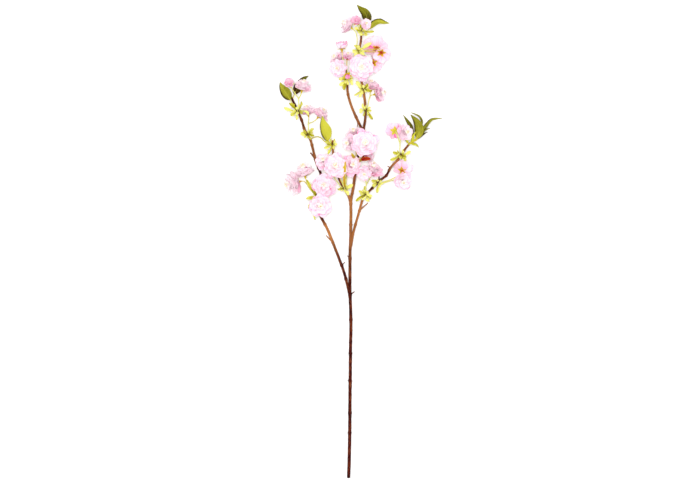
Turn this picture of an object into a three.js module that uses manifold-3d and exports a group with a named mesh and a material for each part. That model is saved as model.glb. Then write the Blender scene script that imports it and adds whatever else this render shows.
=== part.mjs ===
// A cherry blossom sprig, lying down: a long bare woody stem that forks into side branches,
// which carry clusters of double blossoms, whorls of bracts and young leaves.
// Millimetres, +Z up. The sprig is drawn with the stem's cut end at x 0, y 0 and its crown
// towards +Y, and the group at the end moves it so that its box stands centred on the origin.
import * as THREE from "three";
import { mergeVertices } from "three/addons/utils/BufferGeometryUtils.js";
import Module from "manifold-3d";

const wasm = await Module();
wasm.setup();

// ---------------------------------------------------------------- driving dimensions

const GAP = 0.3; // clearance between pieces that touch
const WOOD_SIDES = 8;
const WOOD_STEP = 26; // length of one facet along a woody limb
const SPUR_SIDES = 6;
const PEDICEL_RADIUS = 0.8;
const PEDUNCLE_RADIUS = 1.1;
const STALK_SIDES = 4;
const STALK_STEPS = 4;
const CALYX_LENGTH = 8;
const CALYX_RADIUS = 2.4;
const SEPAL_REACH = 6.5; // from the flower's axis to the tip of a sepal
const COLLAR_WALL = 1.6; // the ring of bud scales that a whorl of bracts grows from
const COLLAR_LENGTH = 6;
const BRACT_THICKNESS = 1;
const LEAF_THICKNESS = 1.2;
const PETIOLE_SHARE = 0.16; // of a leaf's length
const BLADE_SIDES = 4;
const BRACT_STEPS = 3;
const LEAF_STEPS = 9;
const PETALS_ROUND = 5; // lobes seen round a blossom's rim
const SIDES_ROUND = 2 * PETALS_ROUND; // of a blossom and of its calyx
const SPECK = 1; // cubic millimetres of shaving that a cut may leave behind
const LOW = null; // the height of a blossom that rests on the surface under the sprig

// Profiles of a blossom from its calyx, on the axis, round the rim to the middle of its face,
// as shares of its radius: [out from the axis, along the axis].
const PROFILES = {
  open: [[0, 0], [0.1, 0], [0.5, 0.2], [1, 0.62], [0.96, 0.86], [0.58, 1.12], [0, 1.14]],
  half: [[0, 0], [0.18, 0], [0.62, 0.32], [1, 0.86], [0.86, 1.12], [0.4, 1.24], [0, 1.2]],
  bud: [[0, 0], [0.3, 0.05], [0.85, 0.65], [1, 1.15], [0.8, 1.65], [0.35, 1.95], [0, 2]],
};
const LOBE_DEPTH = { open: 0.06, half: 0.05, bud: 0.02 }; // as a share of the radius

// ---------------------------------------------------------------- colours

const FINISHES = {
  bark: { color: 0x7a2c1c, roughness: 0.6 },
  petal: { color: 0xf8e4f0, roughness: 0.75 },
  deep_petal: { color: 0xf5a8cf, roughness: 0.75 },
  young_green: { color: 0xdde048, roughness: 0.6 },
  leaf: { color: 0xb2b426, roughness: 0.5 },
};
const materials = Object.fromEntries(
  Object.entries(FINISHES).map(([name, finish]) => [
    name,
    new THREE.MeshStandardMaterial({ name, metalness: 0, ...finish }),
  ]),
);

// ---------------------------------------------------------------- wood: routes and radii

// Each limb's radius at its root and tip, its route between them, and its spurs:
// [height along Y where the spur leaves, tip of the spur, radius].
const LIMBS = {
  stem: {
    radii: [3.8, 2.3],
    route: [
      [-3, 0, 3.9], [-1, 80, 6], [0, 165, 9], [1, 275, 13], [2, 348, 16], [0, 416, 19],
      [0, 482, 22], [1, 526, 24], [2, 582, 27], [2, 612, 28], [7, 640, 30], [11, 668, 32],
      [20, 722, 35], [29, 766, 37], [34, 800, 39], [32, 838, 41], [26, 872, 43],
      [19, 905, 44], [17, 932, 45], [23, 956, 47], [25, 978, 48], [27, 998, 49],
    ],
    spurs: [
      [405, [10, 412, 20], 1.2],
      [487, [-6, 491, 24], 1.1],
      [213, [-5, 216, 12], 1],
    ],
  },
  centre_twig: {
    radii: [2.9, 2.1],
    route: [
      [2, 604, 28], [-3, 622, 31], [-12, 638, 33], [-22, 656, 36], [-30, 680, 39],
      [-35, 708, 42], [-38, 728, 44], [-38, 747, 45],
    ],
    spurs: [],
  },
  crown_twig: {
    radii: [2.7, 2],
    route: [
      [29, 764, 37], [18, 787, 39], [8, 808, 40], [0, 830, 42], [-5, 850, 43],
      [-6, 868, 44], [-7, 886, 45], [-10, 906, 46],
    ],
    spurs: [[790, [17, 775, 36], 1]],
  },
  left_branch: {
    radii: [2.8, 2.2],
    route: [
      [0, 398, 18], [-5, 424, 19], [-14, 457, 20], [-23, 482, 21], [-36, 515, 23],
      [-49, 548, 25], [-64, 577, 26], [-73, 600, 28], [-71, 625, 29], [-65, 650, 31],
      [-64, 669, 32], [-70, 686, 33], [-77, 706, 35], [-82, 728, 36], [-88, 748, 38],
      [-100, 769, 40], [-107, 791, 41], [-117, 815, 42], [-126, 833, 43], [-134, 849, 44],
    ],
    spurs: [
      [521, [-53, 536, 24], 1.3],
      [470, [-11, 477, 23], 1],
      [706, [-87, 718, 36], 1.8],
    ],
  },
  right_branch: {
    radii: [2.6, 2.2],
    route: [
      [2, 512, 24], [9, 548, 26], [20, 588, 29], [29, 618, 31], [37, 628, 32],
      [53, 644, 35], [66, 657, 36], [80, 668, 37], [87, 681, 38], [95, 692, 38],
      [106, 703, 39], [115, 717, 40], [122, 727, 41], [134, 741, 42],
    ],
    spurs: [
      [591, [39, 607, 31], 1.4],
      [655, [64, 667, 39], 1.6],
      [684, [83, 689, 40], 1.2],
    ],
  },
};

// The limbs that grew together as one piece of wood.
const WOOD = {
  main_stem: ["stem", "centre_twig", "crown_twig"],
  left_branch: ["left_branch"],
  right_branch: ["right_branch"],
};

// ---------------------------------------------------------------- clusters

// A cluster grows from a collar of bud scales round a limb, at a height along Y.
// fork: where its pedicels part, if they share a peduncle.
// blossoms: [kind, radius, middle of the blossom, the way it faces], and "alone" for one whose
// pedicel leaves the collar by itself. bracts: [tip, half width].
const CLUSTERS = {
  crown_tip: {
    limb: "stem",
    height: 985,
    blossoms: [
      ["half", 11, [14, 1007, 66], [-0.1, 0.4, 0.9]],
      ["open", 12, [35, 1000, 67], [0.25, 0.2, 0.94]],
    ],
    bracts: [[[11, 994, 50], 4], [[36, 974, 52], 4], [[53, 984, 55], 3]],
  },
  crown_high: {
    limb: "stem",
    height: 942,
    blossoms: [
      ["open", 20, [-8, 1000, 50], [-0.78, 0.55, 0.3]],
      ["open", 27, [55, 957, LOW], [-0.2, 0.57, -0.79]],
      ["open", 19, [70, 931, 47], [0.12, -0.5, -0.86]],
      ["open", 20, [57, 911, LOW], [0.47, -0.42, -0.78]],
      ["open", 27, [25, 904, 77], [0, -0.06, 1]],
    ],
    bracts: [[[10, 955, 51], 4.5], [[36, 954, 58], 4], [[32, 930, 58], 4], [[9, 929, 50], 3]],
  },
  crown_left: {
    limb: "crown_twig",
    height: 880,
    blossoms: [
      ["half", 14, [-19, 954, 60], [-0.1, 0.97, 0.2]],
      ["open", 19, [-31, 928, LOW], [-0.6, 0.5, 0.6]],
      ["open", 18, [-27, 902, 70], [-0.2, -0.1, 0.97]],
      ["bud", 6, [-5, 883, 66], [0.1, -0.5, 0.86]],
      ["open", 12, [-5, 932, 62], [0.1, 0.7, 0.7]],
    ],
    bracts: [
      [[-24, 880, 46], 4], [[-24, 866, 52], 4.5], [[-13, 855, 54], 4.5], [[5, 866, 50], 3.5],
    ],
  },
  crown_right: {
    limb: "stem",
    height: 858,
    blossoms: [],
    bracts: [
      [[13, 874, 52], 5], [[40, 869, 60], 4], [[44, 852, 52], 4.5], [[9, 845, 46], 3],
      [[20, 839, 52], 4.5],
    ],
  },
  crown_fork: {
    limb: "stem",
    height: 812,
    fork: [42, 836, 40],
    blossoms: [
      ["open", 18, [47, 869, 34], [0.08, 0.93, 0.35]],
      ["open", 20, [68, 851, LOW], [0.9, 0.2, 0.38]],
    ],
    bracts: [[[50, 791, 44], 3.5], [[28, 826, 48], 3]],
  },
  left_high: {
    limb: "left_branch",
    height: 810,
    fork: [-113, 836, 50],
    blossoms: [
      ["half", 11, [-133, 870, 66], [-0.1, 0.3, 0.95]],
      ["open", 20, [-103, 867, 52], [0.2, 0.93, 0.3]],
    ],
    bracts: [
      [[-145, 817, 46], 4], [[-131, 800, 48], 5], [[-118, 790, 42], 4], [[-105, 829, 58], 4],
      [[-91, 799, 58], 4.5], [[-134, 826, 52], 4],
    ],
  },
  left_middle: {
    limb: "left_branch",
    height: 758,
    fork: [-92, 781, 42],
    blossoms: [
      ["open", 17, [-94, 814, 33], [-0.15, 0.92, 0.35]],
      ["open", 18, [-62, 807, 30], [0.6, 0.72, 0.35]],
    ],
    bracts: [[[-108, 763, 44], 4], [[-80, 771, 50], 4], [[-79, 755, 48], 3.5]],
  },
  left_low: {
    limb: "left_branch",
    height: 622,
    fork: [-87, 637, 36],
    blossoms: [
      ["open", 28, [-129, 650, LOW], [-0.9, -0.25, 0.35]],
      ["open", 24, [-102, 681, 38], [-0.2, 0.92, 0.33]],
      ["open", 24, [-65, 601, 72], [0.1, -0.15, 0.98], "alone"],
      ["open", 26, [-57, 645, 54], [-0.05, 0.15, 0.98], "alone"],
    ],
    bracts: [
      [[-95, 658, 52], 4], [[-96, 617, 44], 4.5], [[-92, 595, 40], 4], [[-77, 569, 42], 3],
    ],
  },
  centre_left: {
    limb: "centre_twig",
    height: 640,
    blossoms: [
      ["open", 26, [-32, 688, 84], [0, 0.1, 1]],
      ["open", 22, [4, 690, 63], [0.3, 0.15, 0.94]],
      ["open", 18, [-59, 701, 52], [-0.2, 0.4, 0.9]],
    ],
    bracts: [[[-10, 663, 54], 4.5], [[6, 648, 48], 4.5], [[-3, 624, 44], 4.5], [[-27, 637, 54], 4]],
  },
  centre_twig_tip: {
    limb: "centre_twig",
    height: 736,
    blossoms: [],
    bracts: [[[-57, 727, 54], 4], [[-49, 715, 64], 4.5], [[-54, 745, 50], 4], [[-51, 737, 38], 3]],
  },
  right_low: {
    limb: "right_branch",
    height: 626,
    fork: [36, 648, 44],
    blossoms: [
      ["open", 24, [50, 684, 38], [0.25, 0.9, 0.33]],
      ["open", 15, [31, 671, 72], [0, -0.3, 0.95]],
    ],
    bracts: [
      [[32, 645, 34], 3.5], [[19, 634, 44], 4], [[13, 611, 42], 4], [[40, 610, 42], 5],
      [[49, 622, 38], 3],
    ],
  },
  centre_high: {
    limb: "stem",
    height: 706,
    blossoms: [
      ["open", 28, [33, 738, 84], [0.05, 0.1, 0.99]],
      ["open", 18, [-3, 738, 67], [-0.6, 0, 0.8]],
      ["open", 19, [9, 763, 50], [-0.25, 0.75, 0.6]],
      ["open", 19, [42, 717, 44], [0.8, 0.5, 0.3]],
    ],
    bracts: [],
  },
  right_middle: {
    limb: "right_branch",
    height: 651,
    blossoms: [
      ["open", 23, [119, 687, LOW], [0.3, 0.6, -0.74]],
      ["open", 19, [117, 654, 55], [0.1, -0.3, 0.95]],
    ],
    bracts: [[[47, 657, 46], 4.5], [[72, 652, 50], 4], [[60, 629, 42], 3.5]],
  },
  right_high: {
    limb: "right_branch",
    height: 713,
    fork: [110, 738, 42],
    blossoms: [
      ["open", 19, [96, 770, LOW], [-0.25, 0.3, -0.92]],
      ["open", 18, [123, 762, 61], [0.5, 0.1, 0.85]],
    ],
    bracts: [
      [[94, 719, 50], 4], [[88, 702, 48], 4], [[124, 708, 52], 4.5], [[134, 721, 48], 4],
      [[122, 699, 50], 3.5],
    ],
  },
};

// ---------------------------------------------------------------- leaves

// [route from the petiole's foot to the leaf's tip, half width, the way its face looks].
const LEAVES = {
  crown_leaf_upper: [
    [[33, 990, 52], [37, 1004, 50], [37, 1016, 48], [32, 1026, 50], [24, 1033, 55], [15, 1042, 61]],
    10.5, [0.1, -0.1, 0.98],
  ],
  crown_leaf_right: [
    [[36, 981, 47], [45, 994, 48], [56, 1003, 50], [66, 1006, 51], [75, 1004, 50], [87, 1002, 48]],
    8, [-0.2, 0.35, 0.9],
  ],
  left_leaf_outer: [
    [[-127, 826, 49], [-134, 838, 52], [-143, 852, 52], [-150, 863, 49], [-154, 873, 45]],
    11, [0.1, 0, 1],
  ],
  left_leaf_behind: [
    [[-126, 838, 38], [-121, 851, 30], [-112, 867, 25], [-102, 881, 26], [-91, 888, 30]],
    10, [0.3, 0.4, 0.85],
  ],
  centre_leaf: [
    [[-43, 735, 50], [-49, 748, 55], [-54, 766, 60], [-59, 782, 62], [-61, 798, 61]],
    13, [0.35, 0, 0.95],
  ],
  right_leaf_broad: [
    [[137, 743, 45], [146, 750, 48], [151, 761, 51], [151, 774, 53], [145, 787, 55], [133, 801, 57]],
    10.5, [0, 0, 1],
  ],
  right_leaf_long: [
    [[139, 741, 39], [155, 757, 40], [166, 776, 42], [178, 790, 44], [190, 793, 46], [203, 793, 48]],
    4.5, [0.1, -0.3, 0.95],
  ],
  right_leaf_small: [
    [[136, 745, 38], [137, 760, 33], [134, 775, 33], [126, 788, 37], [117, 801, 42]],
    5, [0.2, 0.2, 0.95],
  ],
};

// ---------------------------------------------------------------- making solids

const vector = (p) => new THREE.Vector3(...p);
const smooth = (points) => new THREE.CatmullRomCurve3(points.map(vector), false, "centripetal");
const UP = new THREE.Vector3(0, 0, 1);

// A closed geometry, with its shared corners merged, as a solid.
function solidOf(geometry) {
  const bare = geometry.clone();
  bare.deleteAttribute("normal");
  bare.deleteAttribute("uv");
  const merged = mergeVertices(bare, 1e-4);
  const corners = merged.index.array;
  const kept = [];
  for (let i = 0; i < corners.length; i += 3) {
    const [a, b, c] = corners.subarray(i, i + 3);
    if (a !== b && b !== c && c !== a) kept.push(a, b, c);
  }
  return new wasm.Manifold(
    new wasm.Mesh({
      numProp: 3,
      vertProperties: merged.attributes.position.array,
      triVerts: new Uint32Array(kept),
    }),
  );
}

// A solid of one body, and the specks that a cut left beside it, as that body's geometry.
function geometryOf(solid) {
  const bodies = solid.decompose().sort((a, b) => b.volume() - a.volume());
  if (bodies.slice(1).some((body) => body.volume() > SPECK)) throw new Error("a piece is cut in two");
  const mesh = bodies[0].getMesh();
  const geometry = new THREE.BufferGeometry();
  geometry.setAttribute("position", new THREE.BufferAttribute(mesh.vertProperties, 3));
  geometry.setIndex(new THREE.BufferAttribute(mesh.triVerts, 1));
  geometry.computeVertexNormals();
  return geometry;
}

const unionOf = (solids) => solids.reduce((a, b) => a.add(b));

// A solid with the others that reach into it cut out of it.
const clearOf = (solid, others) =>
  others.reduce((left, other) => (left.intersect(other).isEmpty() ? left : left.subtract(other)), solid);

// A closed cylinder bent along a curve. acrossAt and throughAt give its half sizes at a share of
// its length, and face, where given, is the way its flat side looks.
function sweep(curve, sides, steps, acrossAt, throughAt = acrossAt, face = null) {
  const geometry = new THREE.CylinderGeometry(1, 1, 1, sides, steps);
  const frames = curve.computeFrenetFrames(steps);
  const position = geometry.attributes.position;
  for (let i = 0; i < position.count; i++) {
    const step = Math.round((position.getY(i) + 0.5) * steps);
    const share = step / steps;
    const along = frames.tangents[step];
    const across = face
      ? new THREE.Vector3().crossVectors(along, face).normalize()
      : frames.binormals[step];
    const through = new THREE.Vector3().crossVectors(across, along);
    const point = curve
      .getPointAt(share)
      .addScaledVector(across, position.getX(i) * acrossAt(share))
      .addScaledVector(through, position.getZ(i) * throughAt(share));
    position.setXYZ(i, ...point);
  }
  return solidOf(geometry);
}

// ---------------------------------------------------------------- wood

// A limb keeps its thickness for most of its length and thins towards its tip.
const radiusOf = ({ radii: [root, tip] }, share) => root + (tip - root) * share ** 2;

function limbSolid(limb, grown = 0) {
  const curve = smooth(limb.route);
  const steps = Math.round(curve.getLength() / WOOD_STEP);
  return sweep(curve, WOOD_SIDES, steps, (share) => radiusOf(limb, share) + grown);
}

// The point of a limb at a height along Y, with the limb's radius and direction there.
function placeOn(limb, height) {
  const curve = smooth(limb.route);
  let low = 0;
  let high = 1;
  while (high - low > 1e-4) {
    const middle = (low + high) / 2;
    if (curve.getPointAt(middle).y < height) low = middle;
    else high = middle;
  }
  return {
    point: curve.getPointAt(low),
    along: curve.getTangentAt(low),
    radius: radiusOf(limb, low),
  };
}

function spurSolid(limb, [height, tip, radius]) {
  const straight = new THREE.LineCurve3(placeOn(limb, height).point, vector(tip));
  return sweep(straight, SPUR_SIDES, 2, (share) => radius * (1.25 - 0.5 * share));
}

const woodSolid = (name) =>
  unionOf(
    WOOD[name].flatMap((limb) => [
      limbSolid(LIMBS[limb]),
      ...LIMBS[limb].spurs.map((spur) => spurSolid(LIMBS[limb], spur)),
    ]),
  );

// ---------------------------------------------------------------- blossoms

// A blossom's own geometry: its axis is Y, its foot is at the origin and it faces +Y.
function blossomGeometry(kind, radius) {
  const profile = PROFILES[kind].map(([out, up]) => new THREE.Vector2(out * radius, up * radius));
  const geometry = new THREE.LatheGeometry(profile, SIDES_ROUND);
  const position = geometry.attributes.position;
  for (let i = 0; i < position.count; i++) {
    const [x, z] = [position.getX(i), position.getZ(i)];
    const share = Math.min(1, Math.hypot(x, z) / radius);
    const lobe = 1 + LOBE_DEPTH[kind] * share * Math.cos(PETALS_ROUND * Math.atan2(x, z));
    position.setXYZ(i, x * lobe, position.getY(i), z * lobe);
  }
  return geometry;
}

// Where a blossom's foot is and how the blossom is turned. Its middle is given.
function blossomPlace([kind, radius, [x, y, z], faces]) {
  const axis = vector(faces).normalize();
  const depth = Math.max(...PROFILES[kind].map(([, up]) => up)) * radius;
  const turn = new THREE.Quaternion().setFromUnitVectors(new THREE.Vector3(0, 1, 0), axis);
  const foot = new THREE.Vector3(x, y, z ?? 0).addScaledVector(axis, -depth / 2);
  if (z === LOW) {
    const geometry = placed(blossomGeometry(kind, radius), foot, turn);
    geometry.computeBoundingBox();
    foot.z -= geometry.boundingBox.min.z;
  }
  return { foot, axis, turn };
}

function placed(geometry, foot, turn) {
  const matrix = new THREE.Matrix4().compose(foot, turn, new THREE.Vector3(1, 1, 1));
  return geometry.clone().applyMatrix4(matrix);
}

// ---------------------------------------------------------------- stalks and bracts

// The calyx of a flower whose foot is at the origin: a narrow bell below it, with five sepals.
function calyxGeometry() {
  const profile = [
    [0, -CALYX_LENGTH],
    [PEDICEL_RADIUS * 1.3, -CALYX_LENGTH],
    [CALYX_RADIUS, -CALYX_LENGTH * 0.3],
    [SEPAL_REACH, -GAP],
    [0, -2 * GAP],
  ];
  const points = profile.map(([out, up]) => new THREE.Vector2(out, up));
  const geometry = new THREE.LatheGeometry(points, SIDES_ROUND);
  const position = geometry.attributes.position;
  for (let i = 0; i < position.count; i++) {
    const [x, z] = [position.getX(i), position.getZ(i)];
    const between = Math.cos(PETALS_ROUND * Math.atan2(x, z)) < 0;
    const notch = between && Math.hypot(x, z) > CALYX_RADIUS * 1.1;
    const scale = notch ? (CALYX_RADIUS * 1.1) / SEPAL_REACH : 1;
    position.setXYZ(i, x * scale, position.getY(i), z * scale);
  }
  return geometry;
}

function pedicelSolid(start, foot, axis) {
  const end = foot.clone().addScaledVector(axis, 1 - CALYX_LENGTH);
  const bend = end.clone().addScaledVector(axis, -0.4 * start.distanceTo(end));
  const curve = new THREE.CubicBezierCurve3(start, start.clone().lerp(end, 0.3), bend, end);
  return sweep(curve, STALK_SIDES, STALK_STEPS, () => PEDICEL_RADIUS);
}

// A spoon-shaped bract that arches from its foot to its tip.
function bractSolid(start, tip, halfWidth) {
  const end = vector(tip);
  const middle = start.clone().lerp(end, 0.55);
  middle.z += start.distanceTo(end) * 0.12;
  const curve = new THREE.QuadraticBezierCurve3(start, middle, end);
  const widthAt = (share) => 0.9 + (halfWidth - 0.9) * Math.sin(Math.PI * share ** 1.5) ** 0.8;
  return sweep(curve, BLADE_SIDES, BRACT_STEPS, widthAt, () => BRACT_THICKNESS / 2, UP);
}

// A ring of bud scales round the limb, clear of it.
function collarSolid({ point, along, radius }) {
  const inner = radius + 2 * GAP;
  const outer = radius + COLLAR_WALL;
  const half = COLLAR_LENGTH / 2;
  const profile = [
    [inner, -half], [outer, -half], [outer + COLLAR_WALL / 2, 0], [outer, half], [inner, half],
    [inner, -half],
  ].map(([out, up]) => new THREE.Vector2(out, up));
  const turn = new THREE.Quaternion().setFromUnitVectors(new THREE.Vector3(0, 1, 0), along);
  return solidOf(placed(new THREE.LatheGeometry(profile, WOOD_SIDES), point, turn));
}

// The point in the collar's wall from which something grows towards a target.
function rootInCollar({ point, along, radius }, target) {
  const way = vector(target).sub(point);
  way.addScaledVector(along, -way.dot(along)).normalize();
  return point.clone().addScaledVector(way, radius + COLLAR_WALL);
}

// One cluster's collar, peduncle, pedicels, calyces and bracts, as one piece.
function stalkSolid({ limb, height, fork, blossoms, bracts }) {
  const place = placeOn(LIMBS[limb], height);
  const pieces = [collarSolid(place)];
  if (fork) {
    const straight = new THREE.LineCurve3(rootInCollar(place, fork), vector(fork));
    pieces.push(sweep(straight, STALK_SIDES, 2, () => PEDUNCLE_RADIUS));
  }
  for (const blossom of blossoms) {
    const { foot, axis, turn } = blossomPlace(blossom);
    const start = fork && !blossom.includes("alone") ? vector(fork) : rootInCollar(place, foot);
    pieces.push(pedicelSolid(start, foot, axis));
    pieces.push(solidOf(placed(calyxGeometry(), foot, turn)));
  }
  for (const [tip, halfWidth] of bracts) {
    pieces.push(bractSolid(rootInCollar(place, tip), tip, halfWidth));
  }
  return unionOf(pieces);
}

// ---------------------------------------------------------------- leaves

// A petiole that opens into a pointed leaf, widest below its middle.
function leafSolid([route, halfWidth, faces]) {
  const widthAt = (share) => {
    if (share < PETIOLE_SHARE) return 0.8;
    const blade = (share - PETIOLE_SHARE) / (1 - PETIOLE_SHARE);
    return 0.5 + (halfWidth - 0.5) * Math.sin(Math.PI * blade ** 0.75) ** 0.9;
  };
  const thick = () => LEAF_THICKNESS / 2;
  return sweep(smooth(route), BLADE_SIDES, LEAF_STEPS, widthAt, thick, vector(faces));
}

// ---------------------------------------------------------------- the sprig

function addMesh(group, name, geometry, finish) {
  const mesh = new THREE.Mesh(geometry, materials[finish]);
  mesh.name = name;
  group.add(mesh);
  return mesh;
}

function addBlossom(group, name, blossom) {
  const [kind, radius] = blossom;
  const { foot, turn } = blossomPlace(blossom);
  const geometry = geometryOf(solidOf(blossomGeometry(kind, radius)));
  const mesh = addMesh(group, name, geometry, kind === "open" ? "petal" : "deep_petal");
  mesh.position.copy(foot);
  mesh.quaternion.copy(turn);
}

const sprig = new THREE.Group();
const grownLimbs = Object.values(LIMBS).map((limb) => limbSolid(limb, GAP));
for (const name of Object.keys(WOOD)) {
  const wood = woodSolid(name);
  const apart = name === "main_stem" ? wood : wood.subtract(grownLimbs[0]);
  addMesh(sprig, name, geometryOf(apart), "bark");
}
for (const [name, cluster] of Object.entries(CLUSTERS)) {
  addMesh(sprig, `${name}_stalk`, geometryOf(clearOf(stalkSolid(cluster), grownLimbs)), "young_green");
  cluster.blossoms.forEach((blossom, i) => {
    const noun = blossom[0] === "bud" ? "bud" : "blossom";
    addBlossom(sprig, `${name}_${noun}_${i + 1}`, blossom);
  });
}
for (const [name, leaf] of Object.entries(LEAVES)) {
  addMesh(sprig, name, geometryOf(clearOf(leafSolid(leaf), grownLimbs)), "leaf");
}

// The box's bottom centre goes to the origin.
const whole = new THREE.Group();
whole.add(sprig);
const box = new THREE.Box3().setFromObject(sprig, true);
const centre = box.getCenter(new THREE.Vector3());
sprig.position.set(-centre.x, -centre.y, -box.min.z);

export default whole;
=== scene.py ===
"""A long cut sprig of double-flowered cherry, lying on a pale surface and seen from straight above.

The wood, the flowering shoots, the blossoms and the leaves are grown round the solids of the
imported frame. Routes and sizes are in millimetres, drawn with the stem's cut end near the origin
and the crown towards +Y, and drawn_point brings them into the frame.
"""

import zlib
from functools import partial
from math import cos, exp, pi, sin, tau
from random import Random

import bmesh
import bpy
import numpy as np
from mathutils import Matrix, Quaternion, Vector, noise


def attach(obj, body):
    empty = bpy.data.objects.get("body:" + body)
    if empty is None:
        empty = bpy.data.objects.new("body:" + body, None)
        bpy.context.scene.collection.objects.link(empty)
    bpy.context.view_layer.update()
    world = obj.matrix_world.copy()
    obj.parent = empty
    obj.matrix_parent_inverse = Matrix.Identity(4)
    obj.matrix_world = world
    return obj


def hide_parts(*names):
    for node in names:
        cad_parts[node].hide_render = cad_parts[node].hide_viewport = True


bl_info = {
    "name": "Cherry Blossom Sprig",
    "version": (1, 0, 0),
    "blender": (4, 5, 0),
    "location": "View3D > Sidebar > Sprig",
    "description": "Grows the wood, shoots, double blossoms and leaves of a cut cherry sprig",
    "category": "Add Mesh",
}

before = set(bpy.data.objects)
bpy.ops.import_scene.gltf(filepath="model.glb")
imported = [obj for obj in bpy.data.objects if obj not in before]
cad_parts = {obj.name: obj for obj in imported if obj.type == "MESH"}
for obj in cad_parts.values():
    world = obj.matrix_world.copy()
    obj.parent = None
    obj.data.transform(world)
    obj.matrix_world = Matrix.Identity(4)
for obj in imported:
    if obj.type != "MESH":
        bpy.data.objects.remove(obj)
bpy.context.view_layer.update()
MM = 0.001
WHITE, BLACK = (1, 1, 1), (0, 0, 0)


def linear(code):
    """The linear colour of an sRGB hex value."""
    parts = [int(code[i : i + 2], 16) / 255 for i in (1, 3, 5)]
    return tuple(c / 12.92 if c <= 0.04045 else ((c + 0.055) / 1.055) ** 2.4 for c in parts)


# -------- the sprig's plan

# Each limb's radius at its root and tip, its route between them, its spurs (height along Y where
# one leaves, its tip, its radius), the heights of its knuckles, and how sun-bleached it is at
# some heights, from 0 for dark red bark to 1 for tan.
LIMBS = {
    "stem": dict(
        radii=(3.8, 2.4),
        route=[
            (-3, 0, 3.9), (-1, 80, 6), (0, 165, 9), (1, 275, 13), (2, 348, 16), (0, 416, 19),
            (0, 482, 22), (1, 526, 24), (2, 582, 27), (2, 612, 28), (7, 640, 30), (11, 668, 32),
            (20, 722, 35), (29, 766, 37), (34, 800, 39), (32, 838, 41), (26, 872, 43), (19, 905, 44),
            (17, 932, 45), (23, 956, 47), (25, 978, 48), (27, 998, 49),
        ],
        spurs=[(405, (10, 412, 20), 1.2), (487, (-6, 491, 24), 1.1), (213, (-5, 216, 12), 1)],
        knuckles=[99, 143, 214, 275, 350, 405, 486, 560, 606, 768],
        bleached=[
            (0, 0), (420, 0.04), (490, 0.2), (540, 0.5), (600, 0.75), (655, 0.35), (680, 0), (770, 0.1),
            (830, 0.6), (930, 0.5), (955, 0.6), (972, 0.1), (1000, 0),
        ],
    ),
    "centre_twig": dict(
        radii=(2.9, 2.1),
        route=[
            (2, 604, 28), (-3, 622, 31), (-12, 638, 33), (-22, 656, 36), (-30, 680, 39), (-35, 708, 42),
            (-38, 728, 44), (-38, 747, 45),
        ],
        spurs=[],
        knuckles=[694, 716],
        bleached=[(604, 0.75), (625, 0.7), (650, 0.1), (680, 0), (710, 0.5), (747, 0.6)],
    ),
    "crown_twig": dict(
        radii=(2.9, 2.3),
        route=[
            (29, 764, 37), (18, 787, 39), (8, 808, 40), (0, 830, 42), (-5, 850, 43), (-6, 868, 44),
            (-7, 886, 45), (-10, 906, 46),
        ],
        spurs=[(790, (17, 775, 36), 1)],
        knuckles=[796, 846],
        bleached=[(764, 0.1), (790, 0.4), (830, 0.75), (845, 0.5), (880, 0), (906, 0)],
    ),
    "left_branch": dict(
        radii=(3.1, 2.5),
        route=[
            (0, 398, 18), (-5, 424, 19), (-14, 457, 20), (-23, 482, 21), (-36, 515, 23), (-49, 548, 25),
            (-64, 577, 26), (-73, 600, 28), (-71, 625, 29), (-65, 650, 31), (-64, 669, 32),
            (-70, 686, 33), (-77, 706, 35), (-82, 728, 36), (-88, 748, 38), (-100, 769, 40),
            (-107, 791, 41), (-117, 815, 42), (-126, 833, 43), (-134, 849, 44),
        ],
        spurs=[(521, (-53, 536, 24), 1.3), (470, (-11, 477, 23), 1), (706, (-87, 718, 36), 1.8)],
        knuckles=[440, 470, 521, 560, 684, 692, 703, 711, 735, 772, 790],
        bleached=[
            (398, 0.1), (490, 0.05), (515, 0.5), (530, 0.9), (555, 0.8), (570, 0.1), (670, 0),
            (700, 0.3), (750, 0.55), (780, 0.3), (800, 0), (849, 0),
        ],
    ),
    "right_branch": dict(
        radii=(2.8, 2.4),
        route=[
            (2, 512, 24), (9, 548, 26), (20, 588, 29), (29, 618, 31), (37, 628, 32), (53, 644, 35),
            (66, 657, 36), (80, 668, 37), (87, 681, 38), (95, 692, 38), (106, 703, 39), (115, 717, 40),
            (122, 727, 41), (134, 741, 42),
        ],
        spurs=[(591, (39, 607, 31), 1.4), (655, (64, 667, 39), 1.6), (684, (83, 689, 40), 1.2)],
        knuckles=[560, 591, 641, 659, 669, 681, 704, 724],
        bleached=[
            (512, 0.6), (610, 0.7), (625, 0.2), (650, 0.05), (675, 0), (684, 0.4), (695, 0.75),
            (706, 0.5), (717, 0.2), (730, 0.3), (741, 0.5),
        ],
    ),
}

# The limbs that grew together as one piece of wood.
WOOD = {
    "main_stem": ["stem", "centre_twig", "crown_twig"],
    "left_branch": ["left_branch"],
    "right_branch": ["right_branch"],
}

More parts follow.
